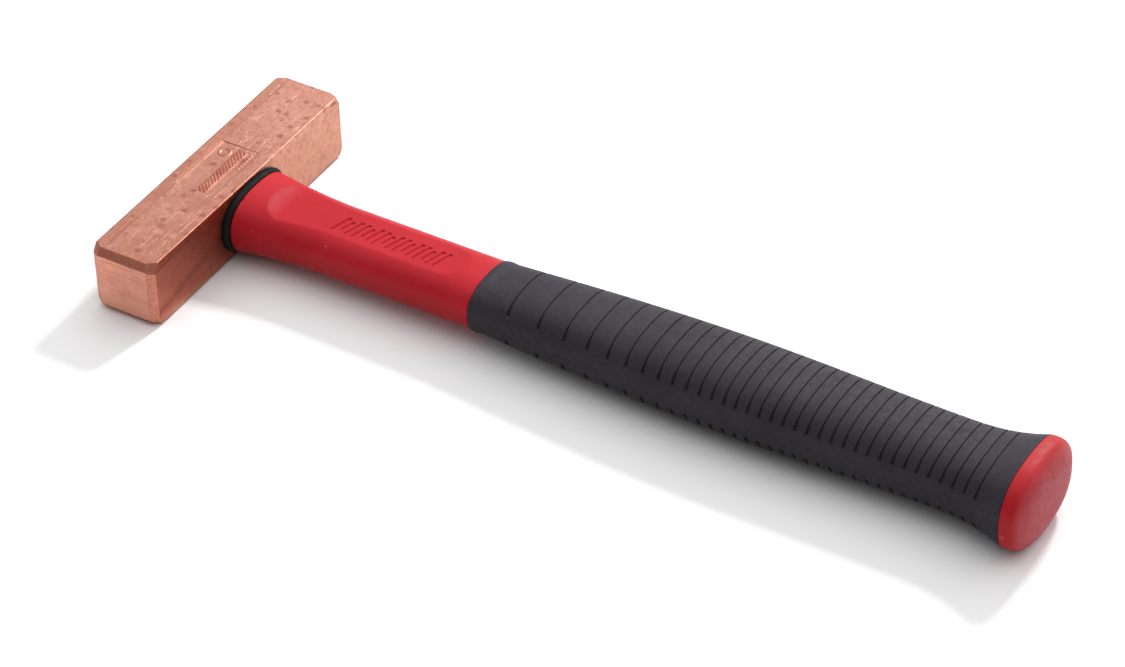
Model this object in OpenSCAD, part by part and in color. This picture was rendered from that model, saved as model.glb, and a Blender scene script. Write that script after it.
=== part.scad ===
// Soft-metal hammer: a solid copper bar head on a fibreglass-cored, two-component handle.
// Local frame while drawing: origin at the head's centre, +X along the handle to the butt,
// Y from striking face to striking face, +Z up through the stamped cheek.

/* [Head] */
// Length from striking face to striking face
head_length = 135; // [110:1:160]
// Side of the square bar
head_side = 30; // [28:0.5:34]
// How far the chamfer round each striking face runs along the bar
chamfer_length = 2.3; // [1:0.1:5]
// How far that chamfer cuts in from the bar's sides
chamfer_depth = 3; // [1:0.5:5]
// How far the corner facets run along the bar's long edges
corner_length = 2.8; // [1:0.1:4]
// How far the corner facets run across the ends of the bar
corner_width = 3.8; // [2:0.1:5]
// Radius of the bar's long edges
edge_radius = 1; // [0.5:0.1:2]
// Width of the stamped panel on the top cheek
panel_width = 18; // [12:1:18]
// Length of the stamped panel
panel_length = 33; // [20:1:40]
// Depth of the stamped panel
panel_depth = 0.3; // [0.2:0.1:0.6]

/* [Eye] */
// Height of the oval eye at its narrow middle
eye_height = 16; // [15:0.5:18]
// Width of the oval eye at its narrow middle
eye_width = 27; // [26:0.5:30]
// How far each wall opens out from the middle to the mouth
eye_flare = 0.8; // [0.4:0.1:1.2]

/* [Core] */
// Width of the fibreglass core
core_width = 23; // [20:0.5:23.5]
// Height of the fibreglass core
core_height = 12.5; // [11:0.5:13.5]

/* [Gasket] */
// Thickness of the rubber ring between head and jacket
gasket_length = 3.5; // [2:0.5:5]
// Width of the ring where it meets the head
gasket_width = 42.2; // [40:0.1:46]
// Height of the ring where it meets the head
gasket_height = 27.6; // [27:0.1:28]
// How far the ring's spigot reaches into the eye
spigot_length = 3; // [1:0.5:5]

/* [Neck] */
// Width of the jacket at the gasket
neck_width = 39.2; // [37:0.1:40]
// Height of the jacket at the gasket
neck_height = 27.2; // [25:0.1:27.5]
// Length over which the neck tapers to the shaft
neck_taper = 42; // [30:1:50]
// Width of the shaft between the neck and the grip
shaft_width = 32.8; // [30:0.1:35]
// Height of the shaft
shaft_height = 22.2; // [20:0.1:24]
// Length of the exposed jacket
neck_length = 109.5; // [100:0.5:125]
// Height of the flat label recess above the handle's axis
recess_level = 10.1; // [9.8:0.1:10.5]
// Distance from the jacket's front edge to the recess
recess_start = 9; // [6:0.5:12]
// Distance from the recess to the grip
recess_end_gap = 9.5; // [6:0.5:14]
// Length of the sloping ramp at each end of the recess
recess_ramp = 5.5; // [4:0.5:8]

/* [Grip] */
// Length of the soft grip
grip_length = 234.7; // [200:0.1:260]
// Widest part of the palm swell
belly_width = 42.1; // [38:0.1:46]
// Height of the palm swell
belly_height = 29.6; // [27:0.1:33]
// Distance from the grip's front edge to the fullest point
belly_at = 117; // [90:1:125]
// Width at the waist ahead of the butt
waist_width = 39; // [36:0.1:41]
// Height at the waist
waist_height = 28.2; // [26:0.1:30]
// Length of the flare behind the waist
flare_length = 31.7; // [20:0.1:40]
// Thickness of the soft layer
grip_wall = 2.6; // [1.5:0.1:2.8]

/* [Butt] */
// Width of the oval butt
butt_width = 49.3; // [44:0.1:54]
// Height of the oval butt
butt_height = 35.9; // [32:0.1:40]
// How far the domed end stands out from the grip
dome_height = 10; // [6:0.5:14]
// Length of the cap's plug inside the grip
plug_length = 9; // [5:0.5:12]

/* [Hidden] */

// Small shape details
cut_margin = 1;
edge_round = 0.9;
flare_power = 2.4;
dome_power = 3.6;
dome_last_angle = 81;
core_setback = 2;
core_pocket_floor = 3;
circle_points = 48;

// Stations along X, all derived
head_front = head_side / 2;
jacket_front = head_front + gasket_length;
grip_front = jacket_front + neck_length;
belly_x = grip_front + belly_at;
butt_x = grip_front + grip_length;
waist_x = butt_x - flare_length;
jacket_end = butt_x - plug_length;
cap_end = butt_x + dome_height;
core_start = -head_front + core_setback;
core_end = butt_x - core_pocket_floor;

// Bounding box centre and lowest point in the local frame, moved to the origin at the end
centre_x = (cap_end - head_front) / 2;
lowest = max(butt_height, head_side) / 2;

// Handle section: a superellipse, between an ellipse (2) and a rounded box (4)
section_power = 2.48;
ring_points = 36;

copper = [0.80, 0.55, 0.45];
resin = [0.16, 0.13, 0.11];
black_rubber = [0.17, 0.16, 0.17];
fibreglass = [0.86, 0.82, 0.62];
red_plastic = [0.78, 0.13, 0.15];
black_grip = [0.20, 0.20, 0.22];

// ---- Profile of the handle ------------------------------------------------------------

function share(x, from, to) = min(1, max(0, (x - from) / (to - from)));
function neck_size(x, neck, shaft) =
    shaft + (neck - shaft) * pow(1 - share(x, jacket_front, jacket_front + neck_taper), 2);
function swell_size(x, shaft, belly, waist, butt) =
    x <= belly_x ? shaft + (belly - shaft) * sin(90 * share(x, grip_front, belly_x))
    : x <= waist_x ? belly - (belly - waist) * (1 - cos(180 * share(x, belly_x, waist_x))) / 2
    : waist + (butt - waist) * pow(share(x, waist_x, butt_x), flare_power);
function grip_width_at(x) = swell_size(x, shaft_width, belly_width, waist_width, butt_width);
function grip_height_at(x) = swell_size(x, shaft_height, belly_height, waist_height, butt_height);

// Round over the jacket's front edge: how far the section is cut back on each side
function corner_inset(x, edge) =
    edge_round - sqrt(pow(edge_round, 2) - pow(max(0, edge_round - abs(x - edge)), 2));

// Ceiling of the label recess: a flat floor that ramps up to the crown at both ends
recess_from = jacket_front + recess_start;
recess_to = grip_front - recess_end_gap;
floor_from = recess_from + recess_ramp;
floor_to = recess_to - recess_ramp;
front_crown = neck_size(recess_from, neck_height, shaft_height) / 2;
front_slope = (front_crown - recess_level) / recess_ramp;
back_slope = (shaft_height / 2 - recess_level) / recess_ramp;
function recess_ceiling(x) =
    x < recess_from || x > recess_to ? neck_height
    : recess_level + max(0, front_slope * (floor_from - x), back_slope * (x - floor_to));

// ---- Rings and lofts ------------------------------------------------------------------

function lobe(value) = sign(value) * pow(abs(value), 2 / section_power);
function section(width, height) = [
    for (i = [0:ring_points - 1])
        let (angle = 360 * i / ring_points)
        [width / 2 * lobe(cos(angle)), height / 2 * lobe(sin(angle))]
];
function ring(x, width, height) = [for (p = section(width, height)) [x, p[0], p[1]]];
function clipped_ring(x, width, height, ceiling) = [
    for (p = ring(x, width, height)) [p[0], p[1], sign(p[2]) * min(abs(p[2]), ceiling)]
];

function side_faces(rows, closed) = [
    for (j = [0:rows - (closed ? 1 : 2)], i = [0:ring_points - 1])
        let (
            next_row = (j + 1) % rows,
            next_point = (i + 1) % ring_points,
            a = j * ring_points + i,
            b = next_row * ring_points + i,
            c = next_row * ring_points + next_point,
            d = j * ring_points + next_point
        )
        each [[a, b, c], [a, c, d]]
];

// A solid through a row of rings, closed with a flat face at each end
module loft(rings) {
    last = (len(rings) - 1) * ring_points;
    front_face = [for (i = [0:ring_points - 1]) i];
    back_face = [for (i = [ring_points - 1:-1:0]) last + i];
    polyhedron(
        points = [for (r = rings) each r],
        faces = concat([front_face, back_face], side_faces(len(rings), false))
    );
}

// A tube: its outer rings run to the back and its inner rings return to the front
module sleeve(outer, inner) {
    back = len(inner) - 1;
    rings = concat(outer, [for (j = [back:-1:0]) inner[j]]);
    polyhedron(points = [for (r = rings) each r], faces = side_faces(len(rings), true));
}

// Moves a sub-part from the local frame to the origin under the middle of the whole tool
module placed() {
    translate([-centre_x, 0, lowest])
        children();
}

// ---- Head -----------------------------------------------------------------------------

module bar_section() {
    inner = head_side - 2 * edge_radius;
    square([head_side, inner], center = true);
    square([inner, head_side], center = true);
    for (x = [-inner / 2, inner / 2], y = [-inner / 2, inner / 2])
        translate([x, y])
            circle(r = edge_radius, $fn = circle_points);
}

// Side view of the bar with its four end chamfers, length along the first axis
module chamfered_outline() {
    long = head_length / 2;
    half = head_side / 2;
    polygon([
        [-long, -half + chamfer_depth], [-long + chamfer_length, -half],
        [long - chamfer_length, -half], [long, -half + chamfer_depth],
        [long, half - chamfer_depth], [long - chamfer_length, half],
        [-long + chamfer_length, half], [-long, half - chamfer_depth]
    ]);
}

// Eight planes, one across each corner of the bar, as one double pyramid
module corner_planes() {
    slope = corner_length / corner_width;
    start = head_length / 2 - chamfer_length - corner_length;
    long_reach = start + slope * head_side;
    side_reach = long_reach / slope;
    polyhedron(
        points = [
            [side_reach, 0, 0], [0, long_reach, 0], [-side_reach, 0, 0],
            [0, -long_reach, 0], [0, 0, side_reach], [0, 0, -side_reach]
        ],
        faces = [
            for (i = [0:3])
                let (next = (i + 1) % 4)
                each [[next, i, 4], [i, next, 5]]
        ]
    );
}

// The eye: an oval hole, narrow in the middle so the potting locks both ways
module eye_space() {
    r_mid = eye_height / 2;
    r_mouth = r_mid + eye_flare;
    lobe_y = (eye_width - eye_height) / 2;
    for (side = [0, 180])
        rotate([0, 0, side]) {
            for (y = [-lobe_y, lobe_y])
                translate([0, y, 0])
                    rotate([0, 90, 0])
                        cylinder(h = head_front, r1 = r_mid, r2 = r_mouth, $fn = circle_points);
        }
    rotate([90, 0, 0])
        linear_extrude(2 * lobe_y, center = true)
            polygon([
                [-head_front, -r_mouth], [0, -r_mid], [head_front, -r_mouth],
                [head_front, r_mouth], [0, r_mid], [-head_front, r_mouth]
            ]);
}

module head() {
    color(copper)
        placed()
            difference() {
                intersection() {
                    rotate([90, 0, 0])
                        linear_extrude(head_length, center = true)
                            bar_section();
                    rotate([90, 0, 90])
                        linear_extrude(head_side, center = true)
                            chamfered_outline();
                    rotate([0, 0, 90])
                        linear_extrude(head_side, center = true)
                            chamfered_outline();
                    corner_planes();
                }
                translate([0, 0, head_front])
                    cube([panel_width, panel_length, 2 * panel_depth], center = true);
                eye_space();
            }
}

// ---- Core and potting -----------------------------------------------------------------

module core_bar(from, to) {
    translate([from, 0, 0])
        rotate([90, 0, 90])
            linear_extrude(to - from)
                polygon(section(core_width, core_height));
}

module core_rod() {
    color(fibreglass)
        placed()
            core_bar(core_start, core_end);
}

// Resin in the eye, from the gasket's spigot back to the head's rear face, closed behind the core
module eye_potting() {
    back_part = head_side - spigot_length;
    color(resin)
        placed()
            difference() {
                intersection() {
                    eye_space();
                    translate([-head_front, -head_side, -head_side])
                        cube([back_part, 2 * head_side, 2 * head_side]);
                }
                core_bar(core_start, head_front);
            }
}

// ---- Handle ---------------------------------------------------------------------------

module neck_gasket() {
    bulge = [for (t = [0:0.25:1]) [
        head_front + t * gasket_length,
        gasket_width - (gasket_width - neck_width) * t * t,
        gasket_height - (gasket_height - neck_height) * t * t
    ]];
    color(black_rubber)
        placed()
            difference() {
                union() {
                    loft([for (b = bulge) ring(b[0], b[1], b[2])]);
                    intersection() {
                        eye_space();
                        translate([head_front - spigot_length, -head_side, -head_side])
                            cube([spigot_length, 2 * head_side, 2 * head_side]);
                    }
                }
                core_bar(0, jacket_front + cut_margin);
            }
}

neck_end = jacket_front + neck_taper;
neck_stations = concat(
    [for (t = [0, 0.15, 0.45, 1]) jacket_front + t * edge_round],
    [for (t = [0.35:0.3:0.95]) jacket_front + edge_round + t * (recess_start - edge_round)],
    [for (t = [0:0.2:1]) recess_from + t * recess_ramp],
    [for (t = [0.2:0.2:1]) floor_from + t * (neck_end - floor_from)],
    [for (t = [1:-0.2:0]) recess_to - t * recess_ramp],
    [grip_front]
);
grip_stations = concat(
    [for (t = [0:0.1:1]) grip_front + t * belly_at],
    [for (t = [0.2:0.2:1]) belly_x + t * (waist_x - belly_x)],
    [for (t = [0.25:0.25:1]) waist_x + t * (jacket_end - waist_x)],
    [for (t = [0.35, 0.7, 1]) jacket_end + t * plug_length]
);

function neck_ring(x) =
    let (inset = 2 * corner_inset(x, jacket_front))
    clipped_ring(
        x,
        neck_size(x, neck_width, shaft_width) - inset,
        neck_size(x, neck_height, shaft_height) - inset,
        recess_ceiling(x)
    );
function grip_ring(x) = ring(x, grip_width_at(x), grip_height_at(x));
function tenon_ring(x) = ring(x, grip_width_at(x) - 2 * grip_wall, grip_height_at(x) - 2 * grip_wall);

module handle_jacket() {
    tenon = [for (x = grip_stations) if (x <= jacket_end) tenon_ring(x)];
    color(red_plastic)
        placed()
            difference() {
                loft(concat([for (x = neck_stations) neck_ring(x)], tenon));
                core_bar(jacket_front - cut_margin, core_end);
            }
}

module grip_sleeve() {
    color(black_grip)
        placed()
            sleeve([for (x = grip_stations) grip_ring(x)], [for (x = grip_stations) tenon_ring(x)]);
}

// Oval end with a plug that fills the back of the grip and a pocket for the end of the core
module butt_cap() {
    plug = [for (x = grip_stations) if (x >= jacket_end) tenon_ring(x)];
    dome = [
        for (angle = [0:9:dome_last_angle])
            let (
                size = pow(cos(angle), 2 / dome_power),
                rise = pow(sin(angle) / sin(dome_last_angle), 2 / dome_power)
            )
            ring(butt_x + dome_height * rise, butt_width * size, butt_height * size)
    ];
    color(red_plastic)
        placed()
            difference() {
                loft(concat(plug, dome));
                core_bar(jacket_end - cut_margin, core_end);
            }
}

head();
eye_potting();
neck_gasket();
core_rod();
handle_jacket();
grip_sleeve();
butt_cap();
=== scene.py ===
import math

import bmesh
import bpy
import numpy as np
from mathutils import Matrix, Vector


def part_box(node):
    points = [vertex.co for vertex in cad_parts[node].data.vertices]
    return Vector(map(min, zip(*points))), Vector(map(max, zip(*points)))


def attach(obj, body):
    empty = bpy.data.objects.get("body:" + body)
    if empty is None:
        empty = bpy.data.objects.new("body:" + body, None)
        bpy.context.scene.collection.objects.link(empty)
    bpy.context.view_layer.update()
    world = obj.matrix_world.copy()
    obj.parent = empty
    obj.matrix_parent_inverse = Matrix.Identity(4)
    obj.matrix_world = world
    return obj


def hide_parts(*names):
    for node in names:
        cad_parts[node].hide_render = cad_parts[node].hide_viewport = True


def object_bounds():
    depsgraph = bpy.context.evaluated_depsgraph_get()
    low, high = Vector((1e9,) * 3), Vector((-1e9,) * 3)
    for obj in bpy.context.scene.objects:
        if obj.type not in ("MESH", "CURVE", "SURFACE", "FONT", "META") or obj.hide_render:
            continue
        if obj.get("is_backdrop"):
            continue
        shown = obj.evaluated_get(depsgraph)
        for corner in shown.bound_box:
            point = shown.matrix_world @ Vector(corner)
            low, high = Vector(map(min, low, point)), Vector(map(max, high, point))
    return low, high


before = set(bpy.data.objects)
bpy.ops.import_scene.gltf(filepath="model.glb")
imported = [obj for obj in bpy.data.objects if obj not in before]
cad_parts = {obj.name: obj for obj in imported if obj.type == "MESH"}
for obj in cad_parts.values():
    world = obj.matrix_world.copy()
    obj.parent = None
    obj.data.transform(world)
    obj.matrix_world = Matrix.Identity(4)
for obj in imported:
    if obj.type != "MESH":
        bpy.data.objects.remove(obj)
cad_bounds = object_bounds()

# ---- Sizes read from the CAD part --------------------------------------------------------------

MM = 0.001
head_low, head_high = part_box("head")
head_mid = (head_low + head_high) / 2


def along(row_x):
    """Millimetres from the head's centre along the handle, for an X in the row frame."""
    return (row_x - head_mid.x) / MM


def half_size(node, axis):
    low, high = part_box(node)
    return (high[axis] - low[axis]) / 2 / MM


HALF_SIDE = half_size("head", 2)
HALF_LENGTH = half_size("head", 1)
GASKET_HALF = (half_size("neck_gasket", 1), half_size("neck_gasket", 2))
CORE_HALF = (half_size("core_rod", 1), half_size("core_rod", 2))
BUTT_HALF = (half_size("butt_cap", 1), half_size("butt_cap", 2))
SPIGOT_END = along(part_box("neck_gasket")[0].x)
JACKET_FRONT = along(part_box("neck_gasket")[1].x)
JACKET_END = along(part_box("handle_jacket")[1].x)
GRIP_FRONT = along(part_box("grip_sleeve")[0].x)
BUTT_X = along(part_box("grip_sleeve")[1].x)
CAP_END = along(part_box("butt_cap")[1].x)
CORE_START = along(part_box("core_rod")[0].x)
CORE_END = along(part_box("core_rod")[1].x)

# ---- Sizes that the boxes can't give, the same as the CAD part's, in millimetres ----------------

SECTION_POWER = 2.48
NECK_HALF = (19.6, 13.6)
SHAFT_HALF = (16.4, 11.1)
BELLY_HALF = (21.05, 14.8)
WAIST_HALF = (19.5, 14.1)
NECK_TAPER = 42.0
BELLY_AT = 117.0
FLARE_LENGTH = 31.7
FLARE_POWER = 2.4
DOME_POWER = 3.6
GRIP_WALL = 2.6
BELLY_X = GRIP_FRONT + BELLY_AT
WAIST_X = BUTT_X - FLARE_LENGTH
EYE_MOUTH_HALF = (14.3, 8.8)
EYE_WAIST_HALF = (13.5, 8.0)
RECESS_LEVEL = 10.1
RECESS_FROM = JACKET_FRONT + 9.0
RECESS_TO = GRIP_FRONT - 9.5
RECESS_RAMP = 5.5
CHAMFER_LENGTH = 2.3
CORNER_LENGTH = 2.8
CORNER_WIDTH = 3.8
PANEL_HALF = (9.0, 16.5)

# ---- Sizes of the details that only the visual pieces have, in millimetres -----------------------

# How far the jacket's moulded front lip covers the rubber ring
LIP_COVER = 0.5
# Ground edge over the handle: its width at the near end of the bar, and how fast it narrows
BAND_WIDTH = 3.8
BAND_SLOPE = 0.053
# Knurled strip in the stamped panel: its middle and its half size, as X and Y
STRIP_MIDDLE = (2.5, -0.8)
STRIP_HALF = (2.2, 15.0)
# Width of the plain strip along the rear of the top cheek: a shallow bevel that isn't modelled, given a
# slightly darker painted shade and a dark painted crease line at its edge
REAR_STRIP_WIDTH = 5.7
# Two small specks on the cap's end, and the raised moulding gate beside its rim
CAP_SPECKS = [(CAP_END - 0.1, -4.8, 7.6), (CAP_END - 0.3, 11.5, 6.3)]
GATE_PLACE = (BUTT_X + 1.7, -24.5, -3.0)
GATE_HEIGHT = 0.8
GATE_RADIUS = 0.8

# ---- Mesh helpers --------------------------------------------------------------------------------


def smooth_step(value, low, high):
    t = np.clip((value - low) / (high - low), 0.0, 1.0)
    return t * t * (3 - 2 * t)


def share(value, low, high):
    return np.clip((value - low) / (high - low), 0.0, 1.0)


def soft_min(a, b, reach):
    """The smaller of a and b, with the corner between them rounded over reach."""
    h = np.clip(0.5 + 0.5 * (b - a) / reach, 0.0, 1.0)
    return b * (1 - h) + a * h - reach * h * (1 - h)


def lobe(value):
    return np.sign(value) * np.abs(value) ** (2 / SECTION_POWER)


def section(half_y, half_z, angles):
    """Y and Z round the handle's rounded oval section."""
    return half_y * lobe(np.cos(angles)), half_z * lobe(np.sin(angles))


def stadium(half_y, half_z, angles):
    """Y and Z round an oval with straight top and bottom and half-round ends."""
    c, s = np.cos(angles), np.sin(angles)
    offset = half_y - half_z
    flat_reach = half_z / np.maximum(np.abs(s), 1e-6)
    middle = np.abs(c) * offset
    round_reach = middle + np.sqrt(np.maximum(middle**2 - offset**2 + half_z**2, 0))
    reach = np.where(flat_reach * np.abs(c) <= offset, flat_reach, round_reach)
    return reach * c, reach * s


def row(x, outline):
    y, z = outline
    return np.stack([np.full_like(y, x) if np.isscalar(x) else x, y, z], axis=-1)


def to_row_frame(points):
    return np.asarray(points, float) * MM + np.array(head_mid)


def build(name, vertices, faces, sharp_degrees=32.0):
    mesh = bpy.data.meshes.new(name)
    mesh.from_pydata(to_row_frame(vertices).tolist(), [], faces)
    bm = bmesh.new()
    bm.from_mesh(mesh)
    bmesh.ops.recalc_face_normals(bm, faces=bm.faces)
    bm.to_mesh(mesh)
    bm.free()
    mesh.shade_smooth()
    mesh.set_sharp_from_angle(angle=math.radians(sharp_degrees))
    piece = bpy.data.objects.new(name, mesh)
    bpy.context.scene.collection.objects.link(piece)
    return piece


def skin(name, rows, ring=False, poles=(None, None), sharp_degrees=32.0):
    """A quad mesh through rows of points that each close on themselves. With ring the last row joins the
    first, as in a tube. poles are the points that close the first and the last row."""
    grid = np.array(rows)
    count, width = grid.shape[:2]
    vertices = grid.reshape(-1, 3).tolist()
    faces = []
    for j in range(count if ring else count - 1):
        a, b = j * width, ((j + 1) % count) * width
        for i in range(width):
            k = (i + 1) % width
            faces.append((a + i, a + k, b + k, b + i))
    for pole, start in zip(poles, (0, (count - 1) * width)):
        if pole is not None:
            vertices.append(pole)
            top = len(vertices) - 1
            faces += [(start + i, start + (i + 1) % width, top) for i in range(width)]
    return build(name, vertices, faces, sharp_degrees)


def finished(piece, node, material):
    piece.data.materials.clear()
    piece.data.materials.append(material)
    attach(piece, "root")
    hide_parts(node)
    return piece


# ---- Materials -----------------------------------------------------------------------------------


class Nodes:
    """Short calls for the nodes that these materials share. Coordinates are in millimetres."""

    def __init__(self, name):
        self.material = bpy.data.materials.new(name)
        self.material.use_nodes = True
        self.tree = self.material.node_tree
        self.shader = self.tree.nodes["Principled BSDF"]
        coordinates = self.new("ShaderNodeTexCoord")
        self.place = self.new("ShaderNodeMapping")
        self.place.inputs["Location"].default_value = -head_mid / MM
        self.place.inputs["Scale"].default_value = (1 / MM, 1 / MM, 1 / MM)
        self.join(coordinates.outputs["Object"], self.place.inputs["Vector"])
        self.mm = self.place.outputs["Vector"]

    def new(self, kind, **settings):
        node = self.tree.nodes.new(kind)
        for key, value in settings.items():
            setattr(node, key, value)
        return node

    def join(self, source, target):
        self.tree.links.new(source, target)

    def feed(self, target, value):
        if hasattr(value, "links"):
            self.join(value, target)
        else:
            target.default_value = value

    def stretched(self, scale):
        node = self.new("ShaderNodeMapping")
        node.inputs["Scale"].default_value = scale
        self.join(self.mm, node.inputs["Vector"])
        return node.outputs["Vector"]

    def noise(self, scale, detail=3.0, roughness=0.55, stretch=(1, 1, 1), distortion=0.0):
        node = self.new("ShaderNodeTexNoise")
        node.inputs["Scale"].default_value = scale
        node.inputs["Detail"].default_value = detail
        node.inputs["Roughness"].default_value = roughness
        node.inputs["Distortion"].default_value = distortion
        self.join(self.stretched(stretch), node.inputs["Vector"])
        return node.outputs["Fac"]

    def cells(self, scale):
        node = self.new("ShaderNodeTexVoronoi")
        node.inputs["Scale"].default_value = scale
        self.join(self.mm, node.inputs["Vector"])
        return node.outputs["Distance"]

    def ramp(self, value, low, high, out_low=0.0, out_high=1.0):
        node = self.new("ShaderNodeMapRange", interpolation_type="SMOOTHSTEP")
        self.join(value, node.inputs["Value"])
        node.inputs["From Min"].default_value = low
        node.inputs["From Max"].default_value = high
        node.inputs["To Min"].default_value = out_low
        node.inputs["To Max"].default_value = out_high
        return node.outputs["Result"]

    def math(self, operation, a, b=0.0):
        node = self.new("ShaderNodeMath", operation=operation)
        self.feed(node.inputs[0], a)
        self.feed(node.inputs[1], b)
        return node.outputs["Value"]

    def times(self, a, b):
        return self.math("MULTIPLY", a, b)

    def minus(self, a, b):
        return self.math("SUBTRACT", a, b)

    def off(self, value, middle):
        """How far value is from middle, either way."""
        return self.math("ABSOLUTE", self.minus(value, middle))

    def mix(self, amount, a, b):
        node = self.new("ShaderNodeMix", data_type="RGBA")
        self.feed(node.inputs["Factor"], amount)
        self.feed(node.inputs[6], a)
        self.feed(node.inputs[7], b)
        return node.outputs[2]

    def bump(self, height, depth_mm, before=None):
        node = self.new("ShaderNodeBump")
        node.inputs["Strength"].default_value = 1.0
        node.inputs["Distance"].default_value = depth_mm * MM
        self.join(height, node.inputs["Height"])
        if before is not None:
            self.join(before, node.inputs["Normal"])
        return node.outputs["Normal"]

    def axes(self, vector):
        node = self.new("ShaderNodeSeparateXYZ")
        self.join(vector, node.inputs["Vector"])
        return node.outputs["X"], node.outputs["Y"], node.outputs["Z"]

    def distance(self, point):
        """Millimetres from a point given in the hammer's own axes."""
        node = self.new("ShaderNodeVectorMath", operation="DISTANCE")
        self.join(self.mm, node.inputs[0])
        node.inputs[1].default_value = point
        return node.outputs["Value"]

    def facing(self):
        """The surface's true normal, as X, Y and Z."""
        return self.axes(self.new("ShaderNodeNewGeometry").outputs["True Normal"])

    def set(self, name, value):
        self.feed(self.shader.inputs[name], value)


def rgb(red, green, blue):
    """A colour as seen on a screen, 0 to 255, turned into the linear values that a shader takes."""
    channels = []
    for value in (red, green, blue):
        c = value / 255
        channels.append(c / 12.92 if c <= 0.04045 else ((c + 0.055) / 1.055) ** 2.4)
    return (*channels, 1.0)


class CopperNodes(Nodes):
    """The copper bar's nodes, with masks from 0 to 1 for the places on it that look different. near_half
    and far_half mark the two halves of the side beside the handle, where the painted reflections go.
    """

    def __init__(self):
        super().__init__("copper_bar")
        self.x, self.y, self.z = self.axes(self.mm)
        nx, ny, nz = self.facing()
        end_slope = self.math("ABSOLUTE", ny)
        from_end = self.minus(HALF_LENGTH, self.math("ABSOLUTE", self.y))
        near_end = self.ramp(from_end, CHAMFER_LENGTH - 0.1, CHAMFER_LENGTH + 0.25, 1.0, 0.0)
        tilted = self.ramp(end_slope, 0.25, 0.45)
        self.end_face = self.ramp(end_slope, 0.9, 0.97)
        self.chamfer = self.times(self.math("MAXIMUM", near_end, tilted), self.minus(1.0, self.end_face))
        self.upward = self.ramp(nz, 0.3, 0.6)
        self.mostly_upward = self.ramp(nz, 0.0, 0.6, 0.3, 1.0)
        self.top_of_chamfer = self.ramp(nz, 0.2, 0.6, 0.0, 0.62)
        handle_side = self.ramp(nx, 0.5, 0.8)
        self.near_half = self.times(handle_side, self.ramp(self.y, -4.0, 12.0, 1.0, 0.0))
        self.far_half = self.times(handle_side, self.ramp(self.y, 4.0, 20.0))


def bar_colour_and_reflections(n):
    """Broad drifts of colour, paler toward the far end of the bar, with painted reflections on the side
    beside the handle: brown at the near end, paler at the far end, a light floor reflection low down and a
    dark reflected streak.
    """
    tone = n.mix(n.ramp(n.noise(0.055, 4.0), 0.35, 0.65), rgb(191, 138, 122), rgb(178, 122, 105))
    tone = n.mix(n.ramp(n.y, 14.0, 34.0, 0.0, 0.45), tone, rgb(212, 158, 141))
    # Painted reflections on the side beside the handle: brown on its near half, paler on its far half.
    tone = n.mix(n.near_half, tone, rgb(179, 98, 78))
    tone = n.mix(n.far_half, tone, rgb(214, 156, 133))
    # A lighter painted reflection of the floor, low on the near half of the side beside the handle.
    floor_reflection = n.times(n.near_half, n.ramp(n.z, -14.5, -8.5, 1.0, 0.0))
    floor_reflection = n.times(floor_reflection, n.ramp(n.y, -58.0, -14.0, 0.95, 0.3))
    floor_reflection = n.times(floor_reflection, n.ramp(n.noise(0.12, 3.0), 0.3, 0.6, 0.6, 1.0))
    tone = n.mix(floor_reflection, tone, rgb(214, 146, 112))
    # A dark painted reflection in a sloping streak across the near half of the side beside the handle.
    dark_reflection_middle = n.minus(n.times(n.y, 0.2), -4.4)
    dark_reflection = n.ramp(n.off(n.z, dark_reflection_middle), 0.4, 3.0, 1.0, 0.0)
    dark_reflection = n.times(dark_reflection, n.times(n.near_half, n.ramp(n.y, -38.0, -22.0, 0.55, 0.0)))
    return n.mix(dark_reflection, tone, rgb(132, 66, 50))


def with_tarnish(n, tone):
    """Adds fine mottling, light patches, round brown blotches, small dark spots and grain."""
    tone = n.mix(n.ramp(n.noise(0.45, 5.0, 0.7), 0.44, 0.72, 0.0, 0.5), tone, rgb(156, 92, 72))
    pale = n.times(n.ramp(n.noise(0.21, 5.0, 0.65), 0.52, 0.7, 0.0, 0.4), n.minus(1.0, n.near_half))
    tone = n.mix(pale, tone, rgb(222, 174, 158))
    ragged = n.times(n.noise(0.7, 4.0, 0.65), 0.3)
    blotches = n.ramp(n.math("ADD", n.cells(0.15), ragged), 0.26, 0.43, 0.55, 0.0)
    tone = n.mix(n.times(blotches, n.mostly_upward), tone, rgb(128, 72, 56))
    spots = n.ramp(n.math("ADD", n.cells(0.36), ragged), 0.25, 0.36, 0.22, 0.0)
    tone = n.mix(n.times(spots, n.mostly_upward), tone, rgb(128, 74, 58))
    return n.mix(n.ramp(n.noise(2.6, 3.0, 0.6), 0.3, 0.75, 0.0, 0.35), tone, rgb(150, 88, 70))


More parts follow.
